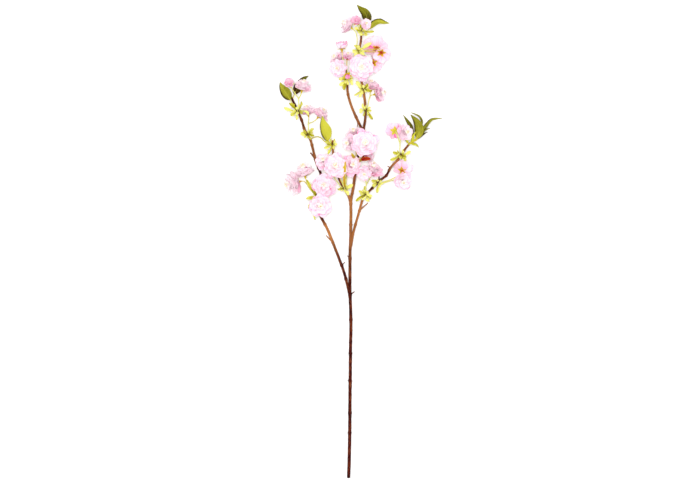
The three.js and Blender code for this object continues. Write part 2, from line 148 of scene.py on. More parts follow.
# A flowering shoot grows from a ring of bud scales round a limb, at a height along Y.
# fork: where its flower stalks part, if they share one. alone: the flowers whose stalks leave
# the ring by themselves. ripe: how red each calyx is. bracts: tip, half width, and how red it is
# if the sun reached it. small: how many small bracts it has, where that isn't the usual number.
SHOOTS = {
    "crown_tip": dict(limb="stem", height=985, ripe=(0.3, 0.3), bracts=[
        ((11, 994, 50), 3.5), ((36, 974, 52), 3.5), ((53, 984, 55), 2.6),
    ]),
    "crown_high": dict(limb="stem", height=942, ripe=(0.1, 1, 0.9, 0.7, 0.3), bracts=[
        ((10, 955, 51), 4), ((46, 958, 72), 4), ((31, 932, 66), 4), ((9, 929, 50), 2.6),
    ]),
    "crown_left": dict(limb="crown_twig", height=880, ripe=(0.3, 0.6, 0.5, 0.6, 0.9), bracts=[
        ((-24, 880, 46), 3.5), ((-24, 866, 52), 4), ((-13, 855, 54), 4), ((5, 866, 50), 3.1),
    ]),
    "crown_right": dict(limb="stem", height=858, bracts=[
        ((13, 874, 52), 4.4), ((40, 869, 60), 3.5), ((44, 852, 52), 4), ((9, 845, 46), 2.6),
        ((20, 839, 52), 4),
    ]),
    "crown_fork": dict(limb="stem", height=812, ripe=(0.2, 0.2), fork=(42, 836, 40), bracts=[
        ((50, 791, 44), 3.1), ((28, 826, 48), 2.6),
    ]),
    "left_high": dict(limb="left_branch", height=810, ripe=(0.2, 0.3), fork=(-113, 836, 50), bracts=[
        ((-145, 817, 46), 3.5), ((-131, 800, 48), 4.4), ((-118, 790, 42), 3.5), ((-105, 829, 58), 3.5),
        ((-91, 799, 58), 4), ((-134, 826, 52), 3.5),
    ]),
    "left_middle": dict(limb="left_branch", height=758, ripe=(0.5, 0.4), fork=(-92, 781, 42), bracts=[
        ((-108, 763, 44), 3.5), ((-80, 771, 50), 3.5), ((-79, 755, 48), 3.1),
    ]),
    "left_low": dict(limb="left_branch", height=622, ripe=(0.5, 0.2, 0.4, 0.6),
        fork=(-87, 637, 36), alone=(3, 4), bracts=[
        ((-95, 658, 52), 3.5), ((-96, 617, 44), 4), ((-92, 595, 40), 3.5), ((-77, 569, 42), 2.6),
    ]),
    "centre_left": dict(limb="centre_twig", height=640, ripe=(0.8, 0.8, 0.3), bracts=[
        ((-10, 663, 54), 4), ((6, 648, 48), 4), ((-3, 624, 44), 4), ((-27, 637, 54), 3.5),
        ((-10, 696, 95), 3.5, 0.4),
    ]),
    "centre_twig_tip": dict(limb="centre_twig", height=736, bracts=[
        ((-57, 727, 54), 3.5), ((-49, 715, 64), 4), ((-54, 745, 50), 3.5), ((-51, 737, 38), 2.6),
    ]),
    "right_low": dict(limb="right_branch", height=626, ripe=(0.2, 0.3), fork=(36, 648, 44), bracts=[
        ((32, 645, 34), 3.1), ((19, 634, 44), 3.5), ((13, 611, 42), 3.5), ((40, 610, 42), 4.4),
        ((49, 622, 38), 2.6),
    ]),
    "centre_high": dict(limb="stem", height=700, ripe=(1.3, 1.3, 1, 1.3), small=3, bracts=[
        ((4, 715, 80), 3.5, 0.35), ((45, 703, 76), 4.4, 1), ((27, 700, 78), 3.1, 0.5),
    ]),
    "right_middle": dict(limb="right_branch", height=651, ripe=(0.7, 0.7), bracts=[
        ((47, 657, 46), 4), ((72, 652, 50), 3.5), ((60, 629, 42), 3.1),
    ]),
    "right_high": dict(limb="right_branch", height=713, ripe=(0, 0.2), fork=(110, 738, 42), bracts=[
        ((94, 719, 50), 3.5), ((88, 702, 48), 3.5), ((124, 708, 52), 4), ((134, 721, 48), 3.5),
        ((122, 699, 50), 3.1),
    ]),
}

# Route from the foot of the leaf stalk to the leaf's tip, half width, the way its face looks,
# and how dark its foot and its tip are.
LEAVES = {
    "crown_leaf_upper": ([
        (33, 990, 52), (37, 1004, 50), (37, 1016, 48), (32, 1026, 50), (24, 1033, 55), (15, 1042, 61),
    ], 10.5, (0.1, -0.1, 0.98), (0.88, 0.44)),
    "crown_leaf_right": ([
        (36, 981, 47), (45, 994, 48), (56, 1003, 50), (66, 1006, 51), (75, 1004, 50), (87, 1002, 48),
    ], 8, (-0.2, 0.35, 0.9), (0.39, 0.2)),
    "left_leaf_outer": ([
        (-127, 826, 49), (-134, 838, 52), (-143, 852, 52), (-150, 863, 49), (-154, 873, 45),
    ], 11, (0.1, 0, 1), (0.62, 0.31)),
    # Painted shade: this leaf lies in the shade behind a blossom, so its foot and tip are painted dark,
    # its foot past the dark green into the near-black edge colour.
    "left_leaf_behind": ([
        (-126, 838, 38), (-121, 851, 30), (-112, 867, 25), (-102, 881, 26), (-91, 888, 30),
    ], 10, (0.3, 0.4, 0.85), (1.17, 0.59)),
    "centre_leaf": ([
        (-43, 735, 50), (-49, 748, 55), (-54, 766, 60), (-59, 782, 62), (-61, 798, 61),
    ], 13, (0.35, 0, 0.95), (0.1, 0.05)),
    "right_leaf_broad": ([
        (137, 743, 45), (146, 750, 48), (151, 761, 51), (151, 774, 53), (145, 787, 55), (133, 801, 57),
    ], 10.5, (0, 0, 1), (0.28, 0.62)),
    "right_leaf_long": ([
        (139, 741, 39), (155, 757, 40), (166, 776, 42), (178, 790, 44), (190, 793, 46), (203, 793, 48),
    ], 4.5, (0.1, -0.3, 0.95), (0.72, 0.36)),
    "right_leaf_small": ([
        (136, 745, 38), (137, 760, 33), (134, 775, 33), (126, 788, 37), (117, 801, 42),
    ], 5, (0.2, 0.2, 0.95), (0.98, 0.49)),
}

# The youngest leaf tips of the right-hand tuft, told as the leaves are.
TUFT_TIPS = [
    ([(146, 748, 43), (157, 760, 45), (166, 768, 47), (176, 771, 49)],
     3.2, (0, 0.3, 0.95), (0.91, 0.45)),
    ([(146, 745, 40), (156, 754, 41), (164, 760, 42), (171, 763, 44)],
     2.6, (0, 0.4, 0.9), (1.3, 0.65)),
    ([(150, 772, 46), (158, 783, 50), (152, 797, 52), (134, 806, 52)],
     2.6, (0.3, 0.2, 0.9), (0.78, 0.39)),
    ([(132, 738, 45), (137, 745, 50), (139, 755, 54), (145, 764, 55)],
     3.5, (0, 0, 1), (0.07, 0.03)),
    ([(131, 737, 44), (126, 742, 49), (124, 750, 51), (127, 757, 49)],
     3, (0, 0.1, 1), (0.07, 0.03)),
    ([(132, 737, 44), (138, 737, 48), (146, 735, 49), (151, 729, 47)],
     3, (0, 0.1, 1), (0.13, 0.07)),
]

# The route of the bare stalk between the left branch and the centre twig.
CURVED_STALK = [
    (-89, 748, 38), (-81, 751, 41), (-72, 753, 44), (-63, 750, 46), (-55, 742, 47), (-46, 737, 45),
]

# A blossom's whorls of petals, from the outermost: how many petals, and then as shares of the
# blossom's radius where a petal's midline starts, bends and ends (out from the axis, up the
# axis), its half width, and how blushed it is.
# The inner whorls' lower blush is partly the cream of a blossom's middle and partly painted light, to
# lift the shade deep among its petals.
WHORLS = {
    "open": [
        (8, (0.05, 0.00), (0.64, 0.04), (1.07, 0.38), 0.53, 0.10),
        (8, (0.05, 0.04), (0.52, 0.24), (0.97, 0.60), 0.47, 0.02),
        (7, (0.04, 0.08), (0.36, 0.50), (0.81, 0.78), 0.41, 0.00),
        (6, (0.04, 0.12), (0.22, 0.70), (0.64, 0.94), 0.36, -0.02),
        (6, (0.03, 0.16), (0.10, 0.84), (0.43, 1.02), 0.28, -0.10),
        (5, (0.02, 0.60), (0.07, 1.00), (0.28, 1.06), 0.20, -0.18),
        (5, (0.00, 0.97), (0.09, 1.03), (0.18, 1.05), 0.13, -0.30),
    ],
    "half": [
        (6, (0.08, 0.02), (1.12, 0.20), (0.98, 1.04), 0.58, 0.00),
        (6, (0.06, 0.05), (0.80, 0.40), (0.70, 1.16), 0.48, 0.05),
        (5, (0.05, 0.08), (0.46, 0.60), (0.34, 1.20), 0.38, 0.08),
    ],
    "bud": [
        (5, (0.10, 0.02), (1.75, 0.85), (0.06, 1.94), 0.95, 0.30),
        (3, (0.08, 0.10), (1.20, 0.95), (0.03, 1.90), 0.70, 0.50),
    ],
}
PETAL_WIDEST = 0.66  # as a share of a petal's length
BLUSH = 0.28  # where most petals are on the scale of petal colours, from 0 for cream to 1 for deep
FOOT_BLUSH = 0.24  # how much further along that scale a petal's foot is
HALF_OPEN = ("crown_tip_blossom_1", "crown_left_blossom_1", "left_high_blossom_1")

# How much pinker some blossoms are than the rest. A value below 0 is painted light: it makes a blossom
# that faces sideways paler, to make up for the shade it is in.
FLUSH_AND_PAINTED_PALING = {
    "crown_tip_blossom_1": 0.04,
    "crown_left_blossom_5": 0.1,
    "crown_fork_blossom_1": 0.08,
    "crown_fork_blossom_2": 0.04,
    "left_low_blossom_1": -0.06,
    "left_low_blossom_2": -0.06,
    "left_low_blossom_4": 0.06,
    "centre_left_blossom_2": 0.08,
    "centre_high_blossom_4": 0.12,
    "right_low_blossom_1": 0.06,
}

CAD_RUFFLE = 1.05  # how far the round of a CAD blossom stands out, as a share of its radius
CALYX_LENGTH = 8
SEPALS = 5
PEDICEL_RADIUS = 1.1
SMALL_BRACTS = 9  # round most shoots' rings, besides those in their plans
SCALE_RING = 1.6  # how far a ring of bud scales stands out from the limb
PETIOLE_SHARE = 0.16  # of a leaf's length
TOOTH = 2.4  # the length of one of a leaf's teeth
VEIN_PAIRS = 9  # side veins of a leaf
VEIN_RISE = 0.2  # how far they rise on their way out, as a share of the leaf's length
VIEW_MIDDLE = (0, 515.9, 45)  # the middle of the camera's view

# The stage, in metres. The lamp hangs almost straight above the sprig, so that the shadows hide
# below what casts them.
FLOOR_WIDTH = 30
LAMP_WIDTH = 1.5
LAMP_PLACE = (-0.1, 0.2, 5.7)

# -------- sizes and colours to change


def colour(name, code, of_what):
    """A colour that a user can change."""
    return bpy.props.FloatVectorProperty(
        name=name, description=f"Colour of {of_what}", subtype="COLOR", size=3, min=0, max=1,
        default=linear(code),
    )


def length(name, millimetres, description, least=0):
    """A length that a user can change."""
    return bpy.props.FloatProperty(
        name=name, description=description, subtype="DISTANCE", unit="LENGTH", min=least * MM,
        precision=4, default=millimetres * MM,
    )


class SprigWoodSettings(bpy.types.PropertyGroup):
    """The look of the bark."""

    dark: colour("Dark bark", "#1C0000", "the oldest bark, in its hollows")
    red: colour("Red bark", "#560B05", "young red-brown bark")
    tan: colour("Tan bark", "#B67640", "bleached bark where the limbs part")
    lenticel: colour("Lenticels", "#8A5A40", "the corky pores across the bark")
    wobble: length("Wobble", 0.35, "How far a limb strays from its drawn route")
    knuckle: length("Knuckles", 0.85, "How far a knuckle stands out from its limb")


class SprigFlowerSettings(bpy.types.PropertyGroup):
    """The look of the petals and stamens."""

    cream: colour("Cream petal", "#FCF6DC", "the smallest petals in a blossom's middle")
    pale: colour("Pale petal", "#FEF2F6", "an open petal's broad end")
    blush: colour("Blush", "#FFDAE9", "a petal near its foot")
    deep: colour("Deep petal", "#F26CAE", "the pinkest rims and of the bud")
    pollen: colour("Anthers", "#F8E8A8", "the anthers in a blossom's middle")
    thickness: length("Petal thickness", 0.3, "Thickness of a petal")
    ruffle: bpy.props.FloatProperty(
        name="Ruffle", description="How far a petal's rim waves, as a share of the blossom's radius",
        subtype="FACTOR", min=0, max=0.3, default=0.075,
    )
    stamens: bpy.props.IntProperty(
        name="Stamens", description="Stamens in the middle of an open blossom", min=0, max=40, default=16
    )


class SprigGreenSettings(bpy.types.PropertyGroup):
    """The look of leaves, bracts, stalks and calyces."""

    leaf: colour("Leaf", "#C0BC3A", "a young leaf's lit face")
    leaf_dark: colour("Dark leaf", "#4E4A00", "an older leaf")
    # Partly the bronze of a young leaf's edge and partly painted shade: it darkens one edge of each leaf,
    # and the leaf that lies in shade behind a blossom.
    bronze_and_painted_shade: colour("Bronze leaf", "#330B0A", "a leaf's bronzed edge")
    vein: colour("Veins", "#D8D44C", "the veins of leaves and bracts")
    bract: colour("Bract", "#EEEC88", "the young bracts")
    # In a bract it is reached along the fold as painted shade, towards the foot, and in its darker
    # patches.
    bract_dark: colour("Dark bract", "#AEA410", "a bract's folds and foot")
    stalk: colour("Flower stalk", "#DADC84", "the thin stalks that carry the blossoms")
    calyx_green: colour("Young calyx", "#D2C636", "a young calyx")
    calyx_gold: colour("Golden calyx", "#C89C14", "a calyx that begins to redden")
    calyx_red: colour("Red calyx", "#A81408", "a calyx that the sun has reddened")
    scale: colour("Bud scale", "#522A12", "the scales that a shoot grew out of")
    leaf_thickness: length("Leaf thickness", 0.45, "Thickness of a leaf blade")
    bract_thickness: length("Bract thickness", 0.4, "Thickness of a bract")


class SprigStageSettings(bpy.types.PropertyGroup):
    """The floor, light and camera."""

    floor: colour("Floor", "#FFFFFF", "the floor")
    sky: bpy.props.FloatProperty(
        name="Fill light", description="Brightness of the light from all round", min=0, default=0.6
    )
    key: bpy.props.FloatProperty(
        name="Key light", description="Power of the large soft lamp", subtype="POWER", unit="POWER",
        min=0, default=262,
    )
    width: length("View width", 1540, "Width of floor that the camera takes in", least=100)
    height: length("Camera height", 6000, "Height of the camera over the floor", least=1000)


# -------- places in the frame


def corners_of(node):
    """The distinct corners of a CAD node."""
    return np.unique(np.round([v.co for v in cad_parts[node].data.vertices], 6), axis=0)


def find_origin():
    """Where the drawing's origin lies in the frame, from the stem's cut end."""
    corners = corners_of("main_stem")
    cut_end = corners[corners[:, 1] < corners[:, 1].min() + 0.5 * MM].mean(0)
    return Vector(cut_end) - Vector(LIMBS["stem"]["route"][0]) * MM


ORIGIN = find_origin()


def drawn_point(point):
    """A drawn point, in millimetres, as a place in the frame."""
    return ORIGIN + Vector(point) * MM


def outwards(angle):
    """The direction at an angle round the Z axis."""
    return Vector((cos(angle), sin(angle), 0))


def blossom_stand(node):
    """The foot, axis and radius of a CAD blossom, from the round of its corners."""
    corners = corners_of(node)
    centre = corners.mean(0)
    spreads, ways = np.linalg.eigh(np.cov((corners - centre).T))
    # It is as wide one way as the other, so its axis is the way whose spread is unlike the rest.
    lowest_differs = spreads[1] - spreads[0] > spreads[2] - spreads[1]
    axis = ways[:, 0 if lowest_differs else 2]
    up = (corners - centre) @ axis
    out = np.linalg.norm(corners - centre - np.outer(up, axis), axis=1)
    # Its foot is the narrower end.
    edge = 0.1 * np.ptp(up)
    if out[up > up.max() - edge].mean() < out[up < up.min() + edge].mean():
        axis, up = -axis, -up
    return Vector(centre + axis * up.min()), Vector(axis), out.max() / CAD_RUFFLE


def blossoms_of(shoot):
    """The names of a shoot's blossoms and buds, in order."""
    found = [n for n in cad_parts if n.startswith((f"{shoot}_blossom_", f"{shoot}_bud_"))]
    return sorted(found, key=lambda n: int(n.rsplit("_", 1)[1]))


def kind_of(node):
    """Whether a blossom is open, half open or a bud."""
    return "bud" if "_bud_" in node else "half" if node in HALF_OPEN else "open"


def arched(points, share):
    """The point at a share of the way along the smooth arch that some points draw out."""
    while len(points) > 1:
        points = [a.lerp(b, share) for a, b in zip(points, points[1:])]
    return points[0]


class Route:
    """A smooth way through some points, with stations a spacing apart."""

    def __init__(self, points, spacing):
        given = [Vector(p) for p in points]
        given = [2 * given[0] - given[1], *given, 2 * given[-1] - given[-2]]
        dense = []
        for a, b, c, d in zip(given, given[1:], given[2:], given[3:]):
            for t in np.linspace(0, 1, 16, endpoint=False):
                bend = 2 * a - 5 * b + 4 * c - d
                dense.append((2 * b + (c - a) * t + bend * t**2 + (3 * b - a - 3 * c + d) * t**3) / 2)
        dense = np.array([*dense, given[-2]])
        travelled = np.append(0, np.cumsum(np.linalg.norm(np.diff(dense, axis=0), axis=1)))
        self.length = travelled[-1]
        count = max(2, round(self.length / spacing)) + 1
        self.lengths = np.linspace(0, self.length, count)
        self.shares = np.linspace(0, 1, count)
        self.points = np.column_stack([np.interp(self.lengths, travelled, dense[:, i]) for i in range(3)])
        ways = np.gradient(self.points, axis=0)
        self.ways = ways / np.linalg.norm(ways, axis=1)[:, None]

    def at(self, share):
        """The point and the direction at a share of the length."""
        point = [np.interp(share, self.shares, self.points[:, i]) for i in range(3)]
        way = [np.interp(share, self.shares, self.ways[:, i]) for i in range(3)]
        return Vector(point), Vector(way).normalized()


LIMB_ROUTES = {
    name: Route([drawn_point(p) for p in limb["route"]], 2.5 * MM) for name, limb in LIMBS.items()
}


def limb_radius(name, share):
    """A limb keeps its thickness for most of its length and thins towards its tip."""
    root, tip = LIMBS[name]["radii"]
    return (root + (tip - root) * share**2) * MM


def share_at(name, height):
    """The share of a limb's length at a drawn height along Y."""
    route = LIMB_ROUTES[name]
    return float(np.interp(drawn_point((0, height, 0)).y, route.points[:, 1], route.shares))


def ring_of(shoot):
    """The centre, direction and radius of the limb where a shoot grows."""
    limb = SHOOTS[shoot]["limb"]
    share = share_at(limb, SHOOTS[shoot]["height"])
    point, way = LIMB_ROUTES[limb].at(share)
    return point, way, limb_radius(limb, share)


def root_towards(ring, target):
    """The point in a ring of bud scales from which something grows towards a target."""
    point, way, radius = ring
    out = target - point
    out = (out - way * out.dot(way)).normalized()
    return point + out * (radius + 0.6 * SCALE_RING * MM)


# -------- making meshes


def seeded(name):
    """Random numbers that are the same for the same name."""
    return Random(zlib.crc32(name.encode()))


def start_mesh():
    """An empty mesh whose corners keep where they grew on their piece, and a tint."""
    bm = bmesh.new()
    bm.verts.layers.float_vector.new("grown")
    bm.verts.layers.float.new("tint")
    return bm


def smooth(faces, material):
    """Shades faces smooth and gives them one of their piece's finishes."""
    for face in faces:
        face.smooth = True
        face.material_index = material


def add_tube(bm, route, radius_at, around, tint_at=lambda share: 0, number=0, material=0):
    """Adds a closed round tube: a grid rolled round a route, its seam joined and its ends domed."""
    first, last = radius_at(0), radius_at(1)
    domes = [(0.5, 0), (0.42, 0.45), (0.22, 0.84)]  # beyond the end and across, in radii
    stations = [(0, -away * first, across * first) for away, across in domes]
    stations += [(share, 0, radius_at(share)) for share in route.shares]
    stations += [(1, away * last, across * last) for away, across in reversed(domes)]
    rows = len(stations) - 1
    made = bmesh.ops.create_grid(bm, x_segments=around, y_segments=rows, size=1)["verts"]
    rings = []
    side = Vector((0, 0, 1))
    for share, beyond, radius in stations:
        point, way = route.at(share)
        side = (side - way * side.dot(way)).normalized()
        rings.append((point + way * beyond, side.copy(), way.cross(side), radius, share, beyond))
    grown, tint = bm.verts.layers.float_vector["grown"], bm.verts.layers.float["tint"]
    for v in made:
        angle = pi * v.co.x
        centre, side, across, radius, share, beyond = rings[round((v.co.y + 1) / 2 * rows)]
        x, y = radius * cos(angle), radius * sin(angle)
        v[grown] = (x, y, number + share * route.length + beyond)
        v[tint] = tint_at(share)
        v.co = centre + side * x + across * y
    bmesh.ops.remove_doubles(bm, verts=made, dist=1e-7)
    smooth({f for v in made if v.is_valid for f in v.link_faces}, material)


def add_blade(
    bm, cells, place, thickness, number=0, tint_at=lambda across, along: 0, material=0, back=0
):
    """Adds a thin blade: place gives the point for shares across (-1 to 1) and along (0 to 1), and
    back is how much deeper the tint is on its outer side."""
    made = bmesh.ops.create_grid(bm, x_segments=cells[0], y_segments=cells[1], size=1)["verts"]
    grown, tint = bm.verts.layers.float_vector["grown"], bm.verts.layers.float["tint"]
    for v in made:
        across, along = v.co.x, (v.co.y + 1) / 2
        v[grown] = (across, along, number)
        v[tint] = tint_at(across, along)
        v.co = place(across, along)
    faces = list(dict.fromkeys(f for v in made for f in v.link_faces))
    smooth(faces, material)
    bmesh.ops.solidify(bm, geom=faces, thickness=thickness)
    for v in made:
        v[tint] += back


def finish_piece(bm, name, finishes, slot, *nodes):
    """Makes a mesh a piece that rides on the frame and stands for CAD nodes."""
    bmesh.ops.recalc_face_normals(bm, faces=bm.faces)
    mesh = bpy.data.meshes.new(name)
    bm.to_mesh(mesh)
    bm.free()
    for finish in finishes:
        mesh.materials.append(finish)
    piece = bpy.data.objects.new(name, mesh)
    bpy.context.scene.collection.objects.link(piece)
    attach(piece, "root")
    if nodes:
        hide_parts(*nodes)
    return piece


# -------- making materials


def add_node(tree, kind, inputs=None, stops=None, **settings):
    """Adds a node with its settings. Each input gets a value, a colour without its alpha, or what
    feeds it: a socket, or a node for that node's first output in use. A Mix node's colours are its
    inputs 6 and 7. Stops are a colour ramp's places and colours, its own two ends first."""
    node = tree.nodes.new(f"ShaderNode{kind}")
    for name, value in settings.items():
        setattr(node, name, value)
    for name, value in (inputs or {}).items():
        if isinstance(value, bpy.types.Node):
            value = next(socket for socket in value.outputs if socket.enabled)
        if isinstance(value, bpy.types.NodeSocket):
            tree.links.new(value, node.inputs[name])
        elif node.inputs[name].type == "RGBA":
            node.inputs[name].default_value = (*value, 1)
        else:
            node.inputs[name].default_value = value
    for i, (position, shade) in enumerate(stops or []):
        elements = node.color_ramp.elements
        element = elements[i] if i < 2 else elements.new(position)
        element.position, element.color = position, (*shade, 1)
    return node


def start_material(name):
    """An empty material, and add_node for its nodes."""
    material = bpy.data.materials.new(name)
    material.use_nodes = True
    material.node_tree.nodes.clear()
    return material, partial(add_node, material.node_tree)


def start_grown_material(name):
    """Starts a material whose pattern follows where each spot grew on its piece, and its tint."""
    material, add = start_material(name)
    grown = add("Attribute", attribute_name="grown").outputs["Vector"]
    tint = add("Attribute", attribute_name="tint").outputs["Fac"]
    return material, add, grown, tint


def bark_material(settings):
    """Young cherry bark, grown smooth and tight: red-brown with a dull gloss, bleached to tan where
    limbs part, crossed by corky pores, and finely wrinkled along its length."""
    material, add, grown, tint = start_grown_material("cherry_bark")
    # Mottling in patches 5.3 mm wide and three times as long: 0.19 of a patch to the millimetre.
    drawn_out = add("Mapping", {"Vector": grown, "Scale": (1, 1, 0.35)})
    mottle = add("TexNoise", {"Vector": drawn_out, "Scale": 0.19 / MM, "Detail": 4, "Roughness": 0.65})
    # Wrinkles along the limb, 1.4 to the millimetre.
    lengthways = add("Mapping", {"Vector": grown, "Scale": (1, 1, 0.12)})
    wrinkles = add("TexNoise", {"Vector": lengthways, "Scale": 1.4 / MM, "Detail": 3})
    # Pores 4.3 mm apart, more than twice as wide across the limb as along it.
    crossways = add("Mapping", {"Vector": grown, "Scale": (1, 1, 2.6)})
    cells = add("TexVoronoi", {"Vector": crossways, "Scale": 0.23 / MM})
    pores = add("ValToRGB", {"Fac": cells}, [(0.16, WHITE), (0.3, BLACK)])
    red = add("ValToRGB", {"Fac": mottle}, [(0.32, settings.dark), (0.62, settings.red)])
    bleach = add("Math", {0: mottle, 1: 1.3, 2: -0.65}, operation="MULTIPLY_ADD")
    bleached = add("Math", {0: tint, 1: bleach}, use_clamp=True)
    base = add("Mix", {0: bleached, 6: red, 7: settings.tan}, data_type="RGBA")
    faint_pores = add("Math", {0: pores, 1: 0.5}, operation="MULTIPLY")
    spotted = add("Mix", {0: faint_pores, 6: base, 7: settings.lenticel}, data_type="RGBA")
    relief = add("Math", {0: pores, 1: 0.6, 2: wrinkles}, operation="MULTIPLY_ADD")
    bump = add("Bump", {"Height": relief, "Distance": 0.35 * MM, "Strength": 0.7})
    gloss = add("MapRange", {"Value": mottle, "To Min": 0.42, "To Max": 0.68})
    surface = add("BsdfPrincipled", {
        "Base Color": spotted, "Roughness": gloss, "IOR": 1.45, "Normal": bump,
        "Specular IOR Level": 0.06,
    })
    add("OutputMaterial", {"Surface": surface})
    return material


def petal_material(settings):
    """Fresh petal tissue: a thin soft sheet that glows where light comes through it, pale at its
    broad end and blushed at its foot, with fine veins that fan out from the foot."""
    material, add, grown, tint = start_grown_material("double_cherry_petal")
    # About 16 veins across a petal 20 mm wide, which is one every 1.2 mm.
    fan = add("Mapping", {"Vector": grown, "Scale": (8, 0.8, 31)})
    veins = add("TexNoise", {"Vector": fan, "Scale": 1, "Detail": 2})
    streaks = add("Math", {0: veins, 1: 0.5, 2: -0.25}, operation="MULTIPLY_ADD")
    # The tint holds each petal's blush together with the painted light and shade laid on it.
    blush_and_painted_light = add("Math", {0: tint, 1: streaks}, use_clamp=True)
    base = add("ValToRGB", {"Fac": blush_and_painted_light}, [
        (0, settings.cream), (1, settings.deep), (0.18, settings.pale), (0.6, settings.blush),
    ])
    bump = add("Bump", {"Height": veins, "Distance": 0.4 * MM, "Strength": 0.5})
    surface = add("BsdfPrincipled", {
        "Base Color": base, "Roughness": 0.62, "IOR": 1.4, "Normal": bump, "Specular IOR Level": 0.2,
        "Subsurface Weight": 0.15, "Subsurface Radius": (1, 0.84, 0.88),
        "Subsurface Scale": 0.5 * MM, "Sheen Weight": 0.15, "Sheen Roughness": 0.5,
    })
    add("OutputMaterial", {"Surface": surface})
    return material


def leaf_material(name, light, dark, edge, vein, vein_pairs):
    """Young leaf tissue, thin and slightly waxy: a pale midrib, arched side veins sunk in the face,
    and colour that deepens from the light blade to the dark one and then to its edge colour, which on a
    leaf is partly bronze and partly painted shade."""
    material, add, grown, tint = start_grown_material(name)
    place = add("SeparateXYZ", {"Vector": grown}).outputs
    out = add("Math", {0: place["X"]}, operation="ABSOLUTE")
    # The side veins rise by a fifth of the blade's length on their way out to the edge.
    risen = add("Math", {0: out, 1: -VEIN_RISE, 2: place["Y"]}, operation="MULTIPLY_ADD")
    rows = add("Math", {0: risen, 1: vein_pairs}, operation="MULTIPLY")
    ripple = add("Math", {0: rows, 1: 0.5}, operation="PINGPONG")
    side_veins = add("ValToRGB", {"Fac": ripple}, [(0, WHITE), (0.12, BLACK)])
    midrib = add("ValToRGB", {"Fac": out}, [(0.04, WHITE), (0.1, BLACK)])
    veins = add("Math", {0: side_veins, 1: midrib}, operation="MAXIMUM")
    # Blotches a third of the blade wide, so that no two leaves have quite the same green.
    spread = add("Mapping", {"Vector": grown, "Scale": (1, 3, 17)})
    blotches = add("TexNoise", {"Vector": spread, "Scale": 1.3, "Detail": 5, "Roughness": 0.6})
    darkening = add("Math", {0: blotches, 1: 0.7, 2: -0.35}, operation="MULTIPLY_ADD")
    shade = add("Math", {0: tint, 1: darkening}, use_clamp=True)
    blade = add("ValToRGB", {"Fac": shade}, [(0.1, light), (1, edge), (0.7, dark)])
    faint_veins = add("Math", {0: veins, 1: 0.2}, operation="MULTIPLY")
    base = add("Mix", {0: faint_veins, 6: blade, 7: vein}, data_type="RGBA")
    relief = add("Math", {0: veins, 1: -1, 2: blotches}, operation="MULTIPLY_ADD")
    bump = add("Bump", {"Height": relief, "Distance": 0.5 * MM, "Strength": 0.45})
    surface = add("BsdfPrincipled", {
        "Base Color": base, "Roughness": 0.5, "IOR": 1.42, "Normal": bump, "Specular IOR Level": 0.1,
        "Subsurface Weight": 0.15, "Subsurface Radius": (0.7, 1, 0.1), "Subsurface Scale": 1.2 * MM,
    })
    add("OutputMaterial", {"Surface": surface})
    return material


def shoot_material(name, young, turning, ripe, gloss=0.5):
    """Soft young stem tissue: smooth, faintly streaked lengthways, reddened where the sun reached."""
    material, add, grown, tint = start_grown_material(name)
    # Streaks 1.1 mm apart that run along the stalk.
    lengthways = add("Mapping", {"Vector": grown, "Scale": (1, 1, 0.15)})
    streaks = add("TexNoise", {"Vector": lengthways, "Scale": 0.9 / MM, "Detail": 2})
    uneven = add("Math", {0: streaks, 1: 0.8, 2: -0.4}, operation="MULTIPLY_ADD")
    ripeness = add("Math", {0: tint, 1: uneven}, use_clamp=True)
    base = add("ValToRGB", {"Fac": ripeness}, [(0.1, young), (0.95, ripe), (0.55, turning)])
    bump = add("Bump", {"Height": streaks, "Distance": 0.2 * MM, "Strength": 0.5})
    surface = add("BsdfPrincipled", {
        "Base Color": base, "Roughness": gloss, "IOR": 1.42, "Normal": bump, "Specular IOR Level": 0.3,
        "Subsurface Weight": 0.15, "Subsurface Radius": (1, 0.8, 0.3), "Subsurface Scale": 1 * MM,
    })
    add("OutputMaterial", {"Surface": surface})
    return material


def grainy_material(name, shade, coarse, roughness):
    """A plain dry surface with a slight grain, coarse millimetres across."""
    material, add = start_material(name)
    place = add("TexCoord").outputs["Object"]
    grain = add("TexNoise", {"Vector": place, "Scale": 1 / (coarse * MM), "Detail": 3})
    darker = [0.8 * c for c in shade]
    base = add("Mix", {0: grain, 6: shade, 7: darker}, data_type="RGBA")
    bump = add("Bump", {"Height": grain, "Distance": 0.2 * MM, "Strength": 0.4})
    surface = add("BsdfPrincipled", {"Base Color": base, "Roughness": roughness, "Normal": bump})
    add("OutputMaterial", {"Surface": surface})
    return material


# -------- wood


def limb_profile(name, settings):
    """A limb's radius at a share of its length: flared at its root, swollen at knuckles and shoots."""
    route, limb = LIMB_ROUTES[name], LIMBS[name]
    shoots = [shoot["height"] for shoot in SHOOTS.values() if shoot["limb"] == name]
    # Where each swelling is, how far it stands out and how far it reaches along the limb.
    swellings = [(h, settings.knuckle, 2.6 * MM) for h in limb["knuckles"]]
    swellings += [(h, 0.5 * MM, 5 * MM) for h in shoots]
    swellings = [(share_at(name, h) * route.length, rise, reach) for h, rise, reach in swellings]
    if name != "stem":
        swellings.append((0, 0.2 * MM, 11 * MM))

    def radius_at(share):
        here = share * route.length
        swell = sum(rise * exp(-(((here - at) / reach) ** 2)) for at, rise, reach in swellings)
        grain = 0.09 * noise.noise(Vector((0, 0, here / (9 * MM))))
        return limb_radius(name, share) * (1 + grain) + swell

    return radius_at


